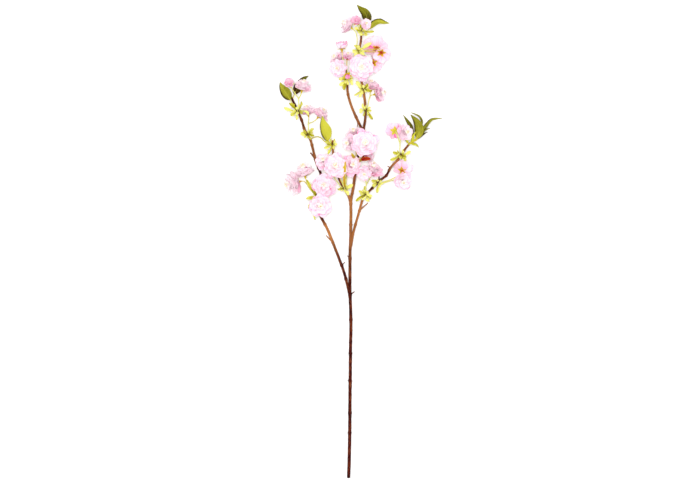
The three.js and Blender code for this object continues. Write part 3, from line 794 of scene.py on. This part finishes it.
def grow_limb(bm, name, settings):
    """Adds a limb that wanders a little about its route, with its spurs."""
    limb, route = LIMBS[name], LIMB_ROUTES[name]
    heights, bleach = zip(*limb["bleached"])
    shares = [share_at(name, height) for height in heights]
    shift = seeded(name).uniform(0, 50)

    def bleached(share):
        return float(np.interp(share, shares, bleach))

    def wander(point, travelled):
        bend = travelled / (20 * MM)
        aside, rise = noise.noise((bend, shift, 0)), noise.noise((bend, 0, shift))
        return Vector(point) + settings.wobble * Vector((aside, 0, rise))

    wandering = Route(map(wander, route.points[::3], route.lengths[::3]), 1.6 * MM)
    add_tube(bm, wandering, limb_profile(name, settings), 18, bleached, shift)
    for height, tip, radius in limb["spurs"]:
        leaves_at, tip = share_at(name, height), drawn_point(tip)
        start, _ = route.at(leaves_at)
        add_tube(
            bm, Route([start, start.lerp(tip, 0.5), tip], 1 * MM),
            lambda share: radius * MM * (1.3 - 0.55 * share + 0.35 * max(0, share - 0.75)),
            12, lambda share: bleached(leaves_at), shift + height,
        )


# -------- blossoms


def petal_place(stand, whorl, angle, rng, ruffle):
    """The shape of one petal: narrow at its foot, notched at its broad end, cupped and ruffled."""
    foot, turn, radius = stand
    _, root, bend, tip, half_width, _ = whorl
    root, bend, tip = Vector(root), Vector(bend), Vector(tip)
    lean = rng.gauss(0, 0.07)
    bend += Vector((-lean, lean)) * 0.5
    tip += Vector((rng.gauss(0, 0.085) - lean * 0.5, rng.gauss(0, 0.06) + lean))
    half_width *= rng.uniform(0.86, 1.12)
    notch, cup, twist = rng.uniform(0, 0.09), rng.uniform(-0.1, 0.4), rng.gauss(0, 0.2)
    phase, waves = rng.uniform(0, tau), rng.uniform(3.5, 7)
    seed = rng.uniform(0, 90)

    def place(across, along):
        # The broad end is rounded towards its sides and notched in a narrow middle.
        rounded = 1 - 0.34 * across**2 * along**2
        reach = along * rounded - notch * along**6 * exp(-((across / 0.24) ** 2))
        midline = arched((root, bend, tip), reach)
        way = ((bend - root) * (1 - reach) + (tip - bend) * reach).normalized()
        broad = sin(pi / 2 * min(1, reach / PETAL_WIDEST)) ** 1.25
        narrowed = 1 - 0.2 * max(0, (reach - PETAL_WIDEST) / (1 - PETAL_WIDEST)) ** 2
        width = half_width * (0.12 + 0.88 * broad) * narrowed
        frill = sin(waves * across + phase) * abs(across) ** 0.5
        crumple = 1.4 * noise.noise((2.2 * across, 2.6 * along, seed))
        lift = width * (cup * across**2 + twist * across) + ruffle * (frill + crumple) * reach**2
        out, up = midline + Vector((-way.y, way.x)) * lift
        wrap = width * across / max(midline.x, 0.34)
        return foot + turn @ (outwards(angle + wrap) * out + Vector((0, 0, up))) * radius

    return place


def add_stamens(bm, stand, count, rng):
    """Adds the short stamens of an open blossom, a thread each with an anther at its tip, round the
    cream cushion they grow on."""
    foot, turn, radius = stand

    def add_ball(place, size, squashed, subdivisions, material):
        matrix = Matrix.Translation(place) @ turn.to_matrix().to_4x4() @ Matrix.Diagonal((*squashed, 1))
        made = bmesh.ops.create_icosphere(
            bm, subdivisions=subdivisions, radius=size, matrix=matrix
        )["verts"]
        smooth({f for v in made for f in v.link_faces}, material)

    add_ball(foot + turn @ Vector((0, 0, 0.84 * radius)), 0.24 * radius, (1, 1, 0.5), 2, 0)
    for i in range(count):
        angle = tau * i / count + rng.uniform(-0.2, 0.2)
        # How far out and up the thread's tip is, as shares of the blossom's radius.
        away = rng.uniform(0.02, 0.2)
        tip_height = rng.uniform(1.02, 1.12)
        points = [
            foot + turn @ (outwards(angle) * out * radius + Vector((0, 0, up * radius)))
            for out, up in [(0.02, 0.2), (away * 0.5, 0.6), (away, tip_height)]
        ]
        add_tube(bm, Route(points, 5 * MM), lambda share: 0.22 * MM, 5)
        add_ball(points[-1], 0.85 * MM, (1, 0.7, 0.8), 1, 1)


def rest_on_floor(bm):
    """Bends back whatever would reach through the floor, so that it lies on it."""
    clear, soft = 0.4 * MM, 3 * MM
    for v in bm.verts:
        if v.co.z < soft:
            v.co.z = clear + (soft - clear) * exp((v.co.z - soft) / (soft - clear))


def grow_blossom(node, settings, finishes):
    """Makes one blossom round its CAD solid, whorl by whorl."""
    foot, axis, radius = blossom_stand(node)
    rng, kind = seeded(node), kind_of(node)
    turn = axis.to_track_quat("Z", "Y") @ Quaternion((0, 0, 1), rng.uniform(0, tau))
    blossom_flush_and_paling = FLUSH_AND_PAINTED_PALING.get(node, 0)
    # Painted light: a blossom that faces sideways is painted paler, to make up for the shade it gets from
    # the lamp overhead.
    blush_and_painted_light = BLUSH + blossom_flush_and_paling - 0.1 * (1 - abs(axis.z))
    # The share of its petals that have a deep pink rim. On an open blossom that rim is partly the pink of
    # a petal's own edge and partly painted shade, for the deep pink in the folds between petals.
    streaked = {"open": 0.12 + 2 * max(0, blossom_flush_and_paling), "half": 0.5, "bud": 0}[kind]
    bm = start_mesh()
    for layer, whorl in enumerate(WHORLS[kind]):
        count, blush = whorl[0], whorl[-1]
        start = rng.uniform(0, tau)
        for i in range(count):
            angle = start + tau * (i + rng.uniform(-0.25, 0.25)) / count
            own = blush_and_painted_light + blush + rng.uniform(-0.06, 0.06)
            rim = (0.55 if kind == "half" else 0.7) if rng.random() < streaked else 0.05

            def tint_at(across, along):
                edge = max(0, across) ** 3 if kind == "open" else max(0, (along - 0.6) / 0.4)
                return own + FOOT_BLUSH * (1 - along) ** 1.5 + rim * edge

            # The outer whorls show most, so they are the finest.
            cells = (10, 10) if layer < 2 else (8, 8)
            ruffle = settings.ruffle * (0.3 + 1.3 * whorl[4] if kind == "open" else 0.4)
            add_blade(
                bm, cells, petal_place((foot, turn, radius), whorl, angle, rng, ruffle),
                settings.thickness, rng.uniform(0, 9), tint_at, back=0.25 if layer == 0 else 0.15,
            )
    if kind == "open":
        add_stamens(bm, (foot, turn, radius), settings.stamens, rng)
    rest_on_floor(bm)
    finish_piece(bm, f"{node}_petals", finishes, "petal" if kind == "open" else "deep_petal", node)


# -------- shoots


def add_calyx(bm, foot, axis, ripe, rng):
    """Adds a calyx under a blossom: a slim bell and five pointed sepals spread below the petals."""
    seats = [foot - axis * CALYX_LENGTH * MM * (1 - t) - axis * 0.4 * MM for t in (0, 0.5, 1)]
    add_tube(
        bm, Route(seats, 0.8 * MM),
        lambda share: MM * float(np.interp(share, [0, 0.25, 0.6, 1], [1.1, 1.7, 2.5, 2.9])),
        12, lambda share: ripe + 0.2 * share, rng.uniform(0, 1), 1,
    )
    turn = axis.to_track_quat("Z", "Y")
    start = rng.uniform(0, tau)
    for i in range(SEPALS):
        around = turn @ outwards(start + tau * i / SEPALS)
        aside = axis.cross(around)
        droop = rng.uniform(-0.9, 0.3)

        def place(across, along):
            width = 3.4 * (1 - along**2.4) ** 0.8 + 0.05
            out = 1.4 + 9.4 * along
            up = -1.6 + 1.6 * along + droop * along**2 + 0.6 * across**2
            return foot + (around * out + aside * width * across + axis * up) * MM

        add_blade(
            bm, (4, 6), place, 0.35 * MM, rng.uniform(0, 1),
            lambda across, along: ripe * (1 - 0.9 * along) + 0.08, 1,
        )


def add_pedicel(bm, start, foot, axis, ripe, rng):
    """Adds a thin flower stalk that leaves its root and turns into the blossom's axis."""
    end = foot - axis * (CALYX_LENGTH - 1) * MM
    away = (end - start).length
    points = [start, start.lerp(end, 0.3), end - axis * 0.4 * away, end]
    add_tube(
        bm, Route([arched(points, t) for t in np.linspace(0, 1, 9)], 2 * MM),
        lambda share: PEDICEL_RADIUS * MM * (1.15 - 0.25 * share),
        8, lambda share: 0.5 * ripe * (0.35 + 0.65 * share), rng.uniform(0, 1),
    )


def add_bract(bm, ring, tip, half_width, thickness, rng, ripe=None):
    """Adds a spoon-shaped bract with small teeth, arched from a ring of bud scales to its tip. A ripe
    one has the tissue of a calyx."""
    start = root_towards(ring, tip)
    reach = tip - start
    middle = start.lerp(tip, 0.55) + reach.cross(Vector((0, 0, 1))) * rng.gauss(0, 0.14)
    middle.z += reach.length * 0.2
    route = Route([arched((start, middle, tip), t) for t in np.linspace(0, 1, 7)], 2 * MM)
    tilt, cup, curl = rng.gauss(0, 0.7), rng.uniform(0.3, 1.0), rng.uniform(-0.3, 1.0)
    phase = rng.uniform(0, tau)
    teeth, own = rng.randint(7, 10), rng.uniform(-0.3, 0.5)
    tissue = 2
    if ripe is not None:
        tissue, own = 1, ripe - 0.2

    def place(across, along):
        point, way = route.at(along)
        aside = way.cross(Vector((tilt, 0, 1))).normalized()
        through = aside.cross(way)
        bulge = sin(pi * min(1, along) ** 2.1) ** 0.8
        tooth = 1 + 0.14 * (along * teeth % 1) * (along > 0.35)
        width = (0.8 + (half_width - 0.8) * bulge) * (tooth if abs(across) > 0.95 else 1)
        lift = cup * width * abs(across) ** 1.4 - curl * half_width * along**3
        lift += 0.16 * half_width * sin(11 * along + 3 * across + phase)
        return point + (aside * width * across + through * lift) * MM

    # Darker towards the foot, darker along the middle as painted shade in the fold, and turning to the
    # edge colour at the tip.
    def tint_at(across, along):
        tip_tint = 3 * max(0, along - 0.9)
        return own + 0.5 * (1 - along) ** 2 + 0.3 * (1 - abs(across)) ** 2 + tip_tint

    add_blade(bm, (6, 16), place, thickness, rng.uniform(0, 9), tint_at, tissue)


def add_bud_scales(bm, ring, rng):
    """Adds the ring of overlapping brown scales that a shoot grew out of."""
    point, way, radius = ring
    turn = way.to_track_quat("Z", "Y")
    # Two rows of scales: how many, and where along the limb each row starts and ends.
    for row, (count, low, high) in enumerate([(6, -4.2, 2.4), (6, -1.6, 4.6)]):
        for i in range(count):
            angle = tau * (i + 0.5 * row + rng.uniform(-0.1, 0.1)) / count
            spread = rng.uniform(0.7, 1.5)

            def place(across, along):
                width = 2 * sin(pi * (0.18 + 0.78 * along)) ** 0.7
                bulge = 0.75 * SCALE_RING * sin(pi / 2 * along)
                out = radius / MM + 0.3 + bulge + spread * along**3
                around = outwards(angle + across * width / out)
                return point + turn @ (around * out + Vector((0, 0, low + (high - low) * along))) * MM

            add_blade(bm, (4, 5), place, 0.4 * MM, rng.uniform(0, 9), material=3)


def grow_shoot(name, settings, finishes):
    """Makes one flowering shoot: bud scales, stalks, calyces and bracts."""
    shoot = SHOOTS[name]
    ring, rng = ring_of(name), seeded(name)
    bm = start_mesh()
    add_bud_scales(bm, ring, rng)
    fork = drawn_point(shoot["fork"]) if "fork" in shoot else None
    if fork:
        start = root_towards(ring, fork)
        shared = Route([start, start.lerp(fork, 0.5) + Vector((0, 0, 0.6 * MM)), fork], 2 * MM)
        add_tube(bm, shared, lambda share: 1.15 * MM, 8, lambda share: 0.1, rng.uniform(0, 1))
    for node, ripe in zip(blossoms_of(name), shoot.get("ripe", ())):
        foot, axis, _ = blossom_stand(node)
        alone = int(node.rsplit("_", 1)[1]) in shoot.get("alone", ())
        start = fork if fork and not alone else root_towards(ring, foot)
        add_pedicel(bm, start, foot, axis, ripe, rng)
        add_calyx(bm, foot, axis, ripe, rng)
    for tip, half_width, *ripe in shoot["bracts"]:
        add_bract(bm, ring, drawn_point(tip), half_width, settings.bract_thickness, rng, *ripe)
    # The small ones reach a little way out and up from the ring, all round it.
    small = shoot.get("small", SMALL_BRACTS)
    for i in range(small):
        angle = tau * (i + rng.uniform(-0.4, 0.4)) / small
        away, rise = rng.uniform(7, 15), rng.uniform(1, 11)
        tip = ring[0] + Vector((away * cos(angle), away * sin(angle), rise)) * MM
        add_bract(bm, ring, tip, rng.uniform(1.8, 3.2), settings.bract_thickness, rng)
    rest_on_floor(bm)
    finish_piece(bm, f"{name}_shoot", finishes, "young_green", f"{name}_stalk")


# -------- leaves


def add_leaf(bm, leaf, thickness, rng):
    """Adds a leaf: a stalk that opens into a toothed, folded blade with a drawn-out tip."""
    points, half_width, faces, (dark_foot, dark_tip) = leaf
    route = Route([drawn_point(p) for p in points], 2 * MM)
    faces = Vector(faces)
    fold, wave, phase = rng.uniform(0.18, 0.34), rng.uniform(0.06, 0.12), rng.uniform(0, tau)
    teeth = round(route.length / (TOOTH * MM))

    def place(across, along):
        point, way = route.at(along)
        aside = way.cross(faces).normalized()
        through = aside.cross(way)
        blade = max(0, (along - PETIOLE_SHARE) / (1 - PETIOLE_SHARE))
        width = 0.6 + (half_width - 0.6) * sin(pi * blade**0.68) ** 1.05
        if abs(across) > 0.97 and blade > 0.04:
            width *= 1.04 - 0.09 * (along * teeth % 1)
        out = abs(across)
        puckers = 0.35 * out * sin(tau * VEIN_PAIRS * (along - VEIN_RISE * out)) ** 2
        waving = wave * across * sin(9 * along + phase)
        lift = width * (fold * out**1.3 + waving) + puckers
        return point + (aside * width * across + through * lift) * MM

    # One edge of the leaf turns near-black maroon: partly the bronze of a young leaf, partly painted
    # shade.
    bronze_and_shade = rng.uniform(0.7, 1.1)

    def tint_at(across, along):
        return dark_foot + (dark_tip - dark_foot) * along + bronze_and_shade * max(0, (-across - 0.6) / 0.4)

    add_blade(bm, (12, 44), place, thickness, rng.uniform(0, 9), tint_at)
    # The stalk comes from the nearest wood behind the leaf and runs on as its midrib.
    foot, way = route.at(0)
    behind = foot - way * 7 * MM
    wood = (Vector(p) for limb in LIMB_ROUTES.values() for p in limb.points)
    onto = min(wood, key=lambda p: (p - behind).length)
    stalk = Route([onto, foot, *(route.at(share)[0] for share in (0.1, 0.2, 0.3))], 1.5 * MM)
    add_tube(
        bm, stalk, lambda share: (1.6 - 1.3 * share) * MM, 8, lambda share: 0.25 * dark_tip, material=1
    )


def grow_leaf(name, settings, finishes):
    """Makes one leaf round its CAD solid."""
    bm = start_mesh()
    add_leaf(bm, LEAVES[name], settings.leaf_thickness, seeded(name))
    finish_piece(bm, f"{name}_blade", finishes, "leaf", name)


# -------- operators


class SPRIG_OT_wood(bpy.types.Operator):
    """Grow the stem and the side branches"""

    bl_idname = "sprig.wood"
    bl_label = "Wood"

    def execute(self, context):
        settings = context.scene.sprig_wood
        bark = bark_material(settings)
        for node, limbs in WOOD.items():
            bm = start_mesh()
            for name in limbs:
                grow_limb(bm, name, settings)
            finish_piece(bm, f"{node}_bark", [bark], "bark", node)
        return {"FINISHED"}


class SPRIG_OT_blossoms(bpy.types.Operator):
    """Open the blossoms and the bud"""

    bl_idname = "sprig.blossoms"
    bl_label = "Blossoms"

    def execute(self, context):
        settings = context.scene.sprig_flowers
        finishes = [petal_material(settings), grainy_material("pollen_grains", settings.pollen, 0.3, 0.8)]
        for shoot in SHOOTS:
            for node in blossoms_of(shoot):
                grow_blossom(node, settings, finishes)
        return {"FINISHED"}


class SPRIG_OT_shoots(bpy.types.Operator):
    """Grow the bud scales, flower stalks, calyces and bracts"""

    bl_idname = "sprig.shoots"
    bl_label = "Flowering shoots"

    def execute(self, context):
        settings = context.scene.sprig_greens
        turning = settings.calyx_gold, settings.calyx_red
        shades = settings.bract, settings.bract_dark, settings.leaf_dark
        finishes = [
            shoot_material("flower_stalk", settings.stalk, *turning),
            shoot_material("calyx_tissue", settings.calyx_green, *turning, gloss=0.45),
            leaf_material("young_bract", *shades, settings.vein, 7),
            grainy_material("dry_bud_scale", settings.scale, 1.2, 0.7),
        ]
        for name in SHOOTS:
            grow_shoot(name, settings, finishes)
        return {"FINISHED"}


class SPRIG_OT_leaves(bpy.types.Operator):
    """Grow the leaves, the tips of the right-hand tuft and the bare curved stalk"""

    bl_idname = "sprig.leaves"
    bl_label = "Leaves"

    def execute(self, context):
        settings = context.scene.sprig_greens
        shades = settings.leaf, settings.leaf_dark, settings.bronze_and_painted_shade
        ripening = settings.calyx_green, settings.calyx_gold, settings.calyx_red
        finishes = [
            leaf_material("cherry_leaf", *shades, settings.vein, VEIN_PAIRS),
            shoot_material("leaf_stalk", *ripening),
        ]
        for name in LEAVES:
            grow_leaf(name, settings, finishes)
        bm = start_mesh()
        for i, leaf in enumerate(TUFT_TIPS):
            add_leaf(bm, leaf, settings.leaf_thickness, seeded(f"tuft tip {i}"))
        finish_piece(bm, "right_tuft_tips", finishes, "leaf")
        bm = start_mesh()
        stalk = Route([drawn_point(p) for p in CURVED_STALK], 2 * MM)
        add_tube(bm, stalk, lambda share: 1.2 * MM, 8, lambda share: 0.9 - 2.4 * share * (1 - share))
        bare = shoot_material("bare_stalk", settings.leaf, settings.bract_dark, settings.scale)
        finish_piece(bm, "left_bare_stalk", [bare], "young_green")
        return {"FINISHED"}


class SPRIG_OT_stage(bpy.types.Operator):
    """Lay the pale floor and set the soft light and the camera"""

    bl_idname = "sprig.stage"
    bl_label = "Stage"

    def execute(self, context):
        scene, settings = context.scene, context.scene.sprig_stage
        bm = bmesh.new()
        bmesh.ops.create_grid(bm, x_segments=1, y_segments=1, size=FLOOR_WIDTH / 2)
        mesh = bpy.data.meshes.new("floor")
        bm.to_mesh(mesh)
        bm.free()
        # Matt paper: bright, without a gloss.
        paper, add = start_material("matt_paper")
        surface = add("BsdfPrincipled", {
            "Base Color": settings.floor, "Roughness": 0.9, "Specular IOR Level": 0.1,
        })
        add("OutputMaterial", {"Surface": surface})
        mesh.materials.append(paper)
        floor = bpy.data.objects.new("floor", mesh)
        scene.collection.objects.link(floor)

        world = bpy.data.worlds.new("soft_room")
        world.use_nodes = True
        world.node_tree.nodes.clear()
        glow = add_node(world.node_tree, "Background", {"Color": WHITE, "Strength": settings.sky})
        add_node(world.node_tree, "OutputWorld", {"Surface": glow})
        scene.world = world

        lamp = bpy.data.lights.new("key_lamp", "AREA")
        lamp.energy, lamp.shape, lamp.size = settings.key, "DISK", LAMP_WIDTH
        key = bpy.data.objects.new("key_lamp", lamp)
        key.location = LAMP_PLACE
        key.rotation_euler = (-key.location).to_track_quat("-Z", "Y").to_euler()
        key.visible_camera = False
        scene.collection.objects.link(key)

        middle = drawn_point(VIEW_MIDDLE)
        lens = bpy.data.cameras.new("camera")
        lens.sensor_width = 36
        lens.lens = lens.sensor_width * (settings.height - middle.z) / settings.width
        lens.clip_end = 100
        camera = bpy.data.objects.new("camera", lens)
        camera.location = (middle.x, middle.y, settings.height)
        scene.collection.objects.link(camera)
        scene.camera = camera
        scene.view_settings.view_transform = "Standard"
        return {"FINISHED"}


class SPRIG_PT_panel(bpy.types.Panel):
    """The steps that make the sprig, with their sizes and colours"""

    bl_label = "Cherry blossom sprig"
    bl_space_type = "VIEW_3D"
    bl_region_type = "UI"
    bl_category = "Sprig"

    def draw(self, context):
        for name, (group, operators) in STEPS.items():
            box = self.layout.box()
            for operator in operators:
                box.operator(operator.bl_idname)
            for setting in group.__annotations__:
                box.prop(getattr(context.scene, name), setting)


# Each step's settings, by the name they hang on the scene under, and its operators.
STEPS = {
    "sprig_wood": (SprigWoodSettings, [SPRIG_OT_wood]),
    "sprig_flowers": (SprigFlowerSettings, [SPRIG_OT_blossoms]),
    "sprig_greens": (SprigGreenSettings, [SPRIG_OT_shoots, SPRIG_OT_leaves]),
    "sprig_stage": (SprigStageSettings, [SPRIG_OT_stage]),
}
CLASSES = [cls for group, operators in STEPS.values() for cls in (group, *operators)]
CLASSES.append(SPRIG_PT_panel)


def register():
    """Registers the classes and hangs the settings on the scene."""
    for cls in CLASSES:
        bpy.utils.register_class(cls)
    for name, (group, _) in STEPS.items():
        setattr(bpy.types.Scene, name, bpy.props.PointerProperty(type=group))


def unregister():
    """Takes the settings and the classes away again."""
    for name in STEPS:
        delattr(bpy.types.Scene, name)
    for cls in reversed(CLASSES):
        bpy.utils.unregister_class(cls)


def main():
    """Makes the whole sprig on its stage."""
    register()
    bpy.ops.sprig.wood()
    bpy.ops.sprig.shoots()
    bpy.ops.sprig.blossoms()
    bpy.ops.sprig.leaves()
    bpy.ops.sprig.stage()


if __name__ == "__main__":
    main()
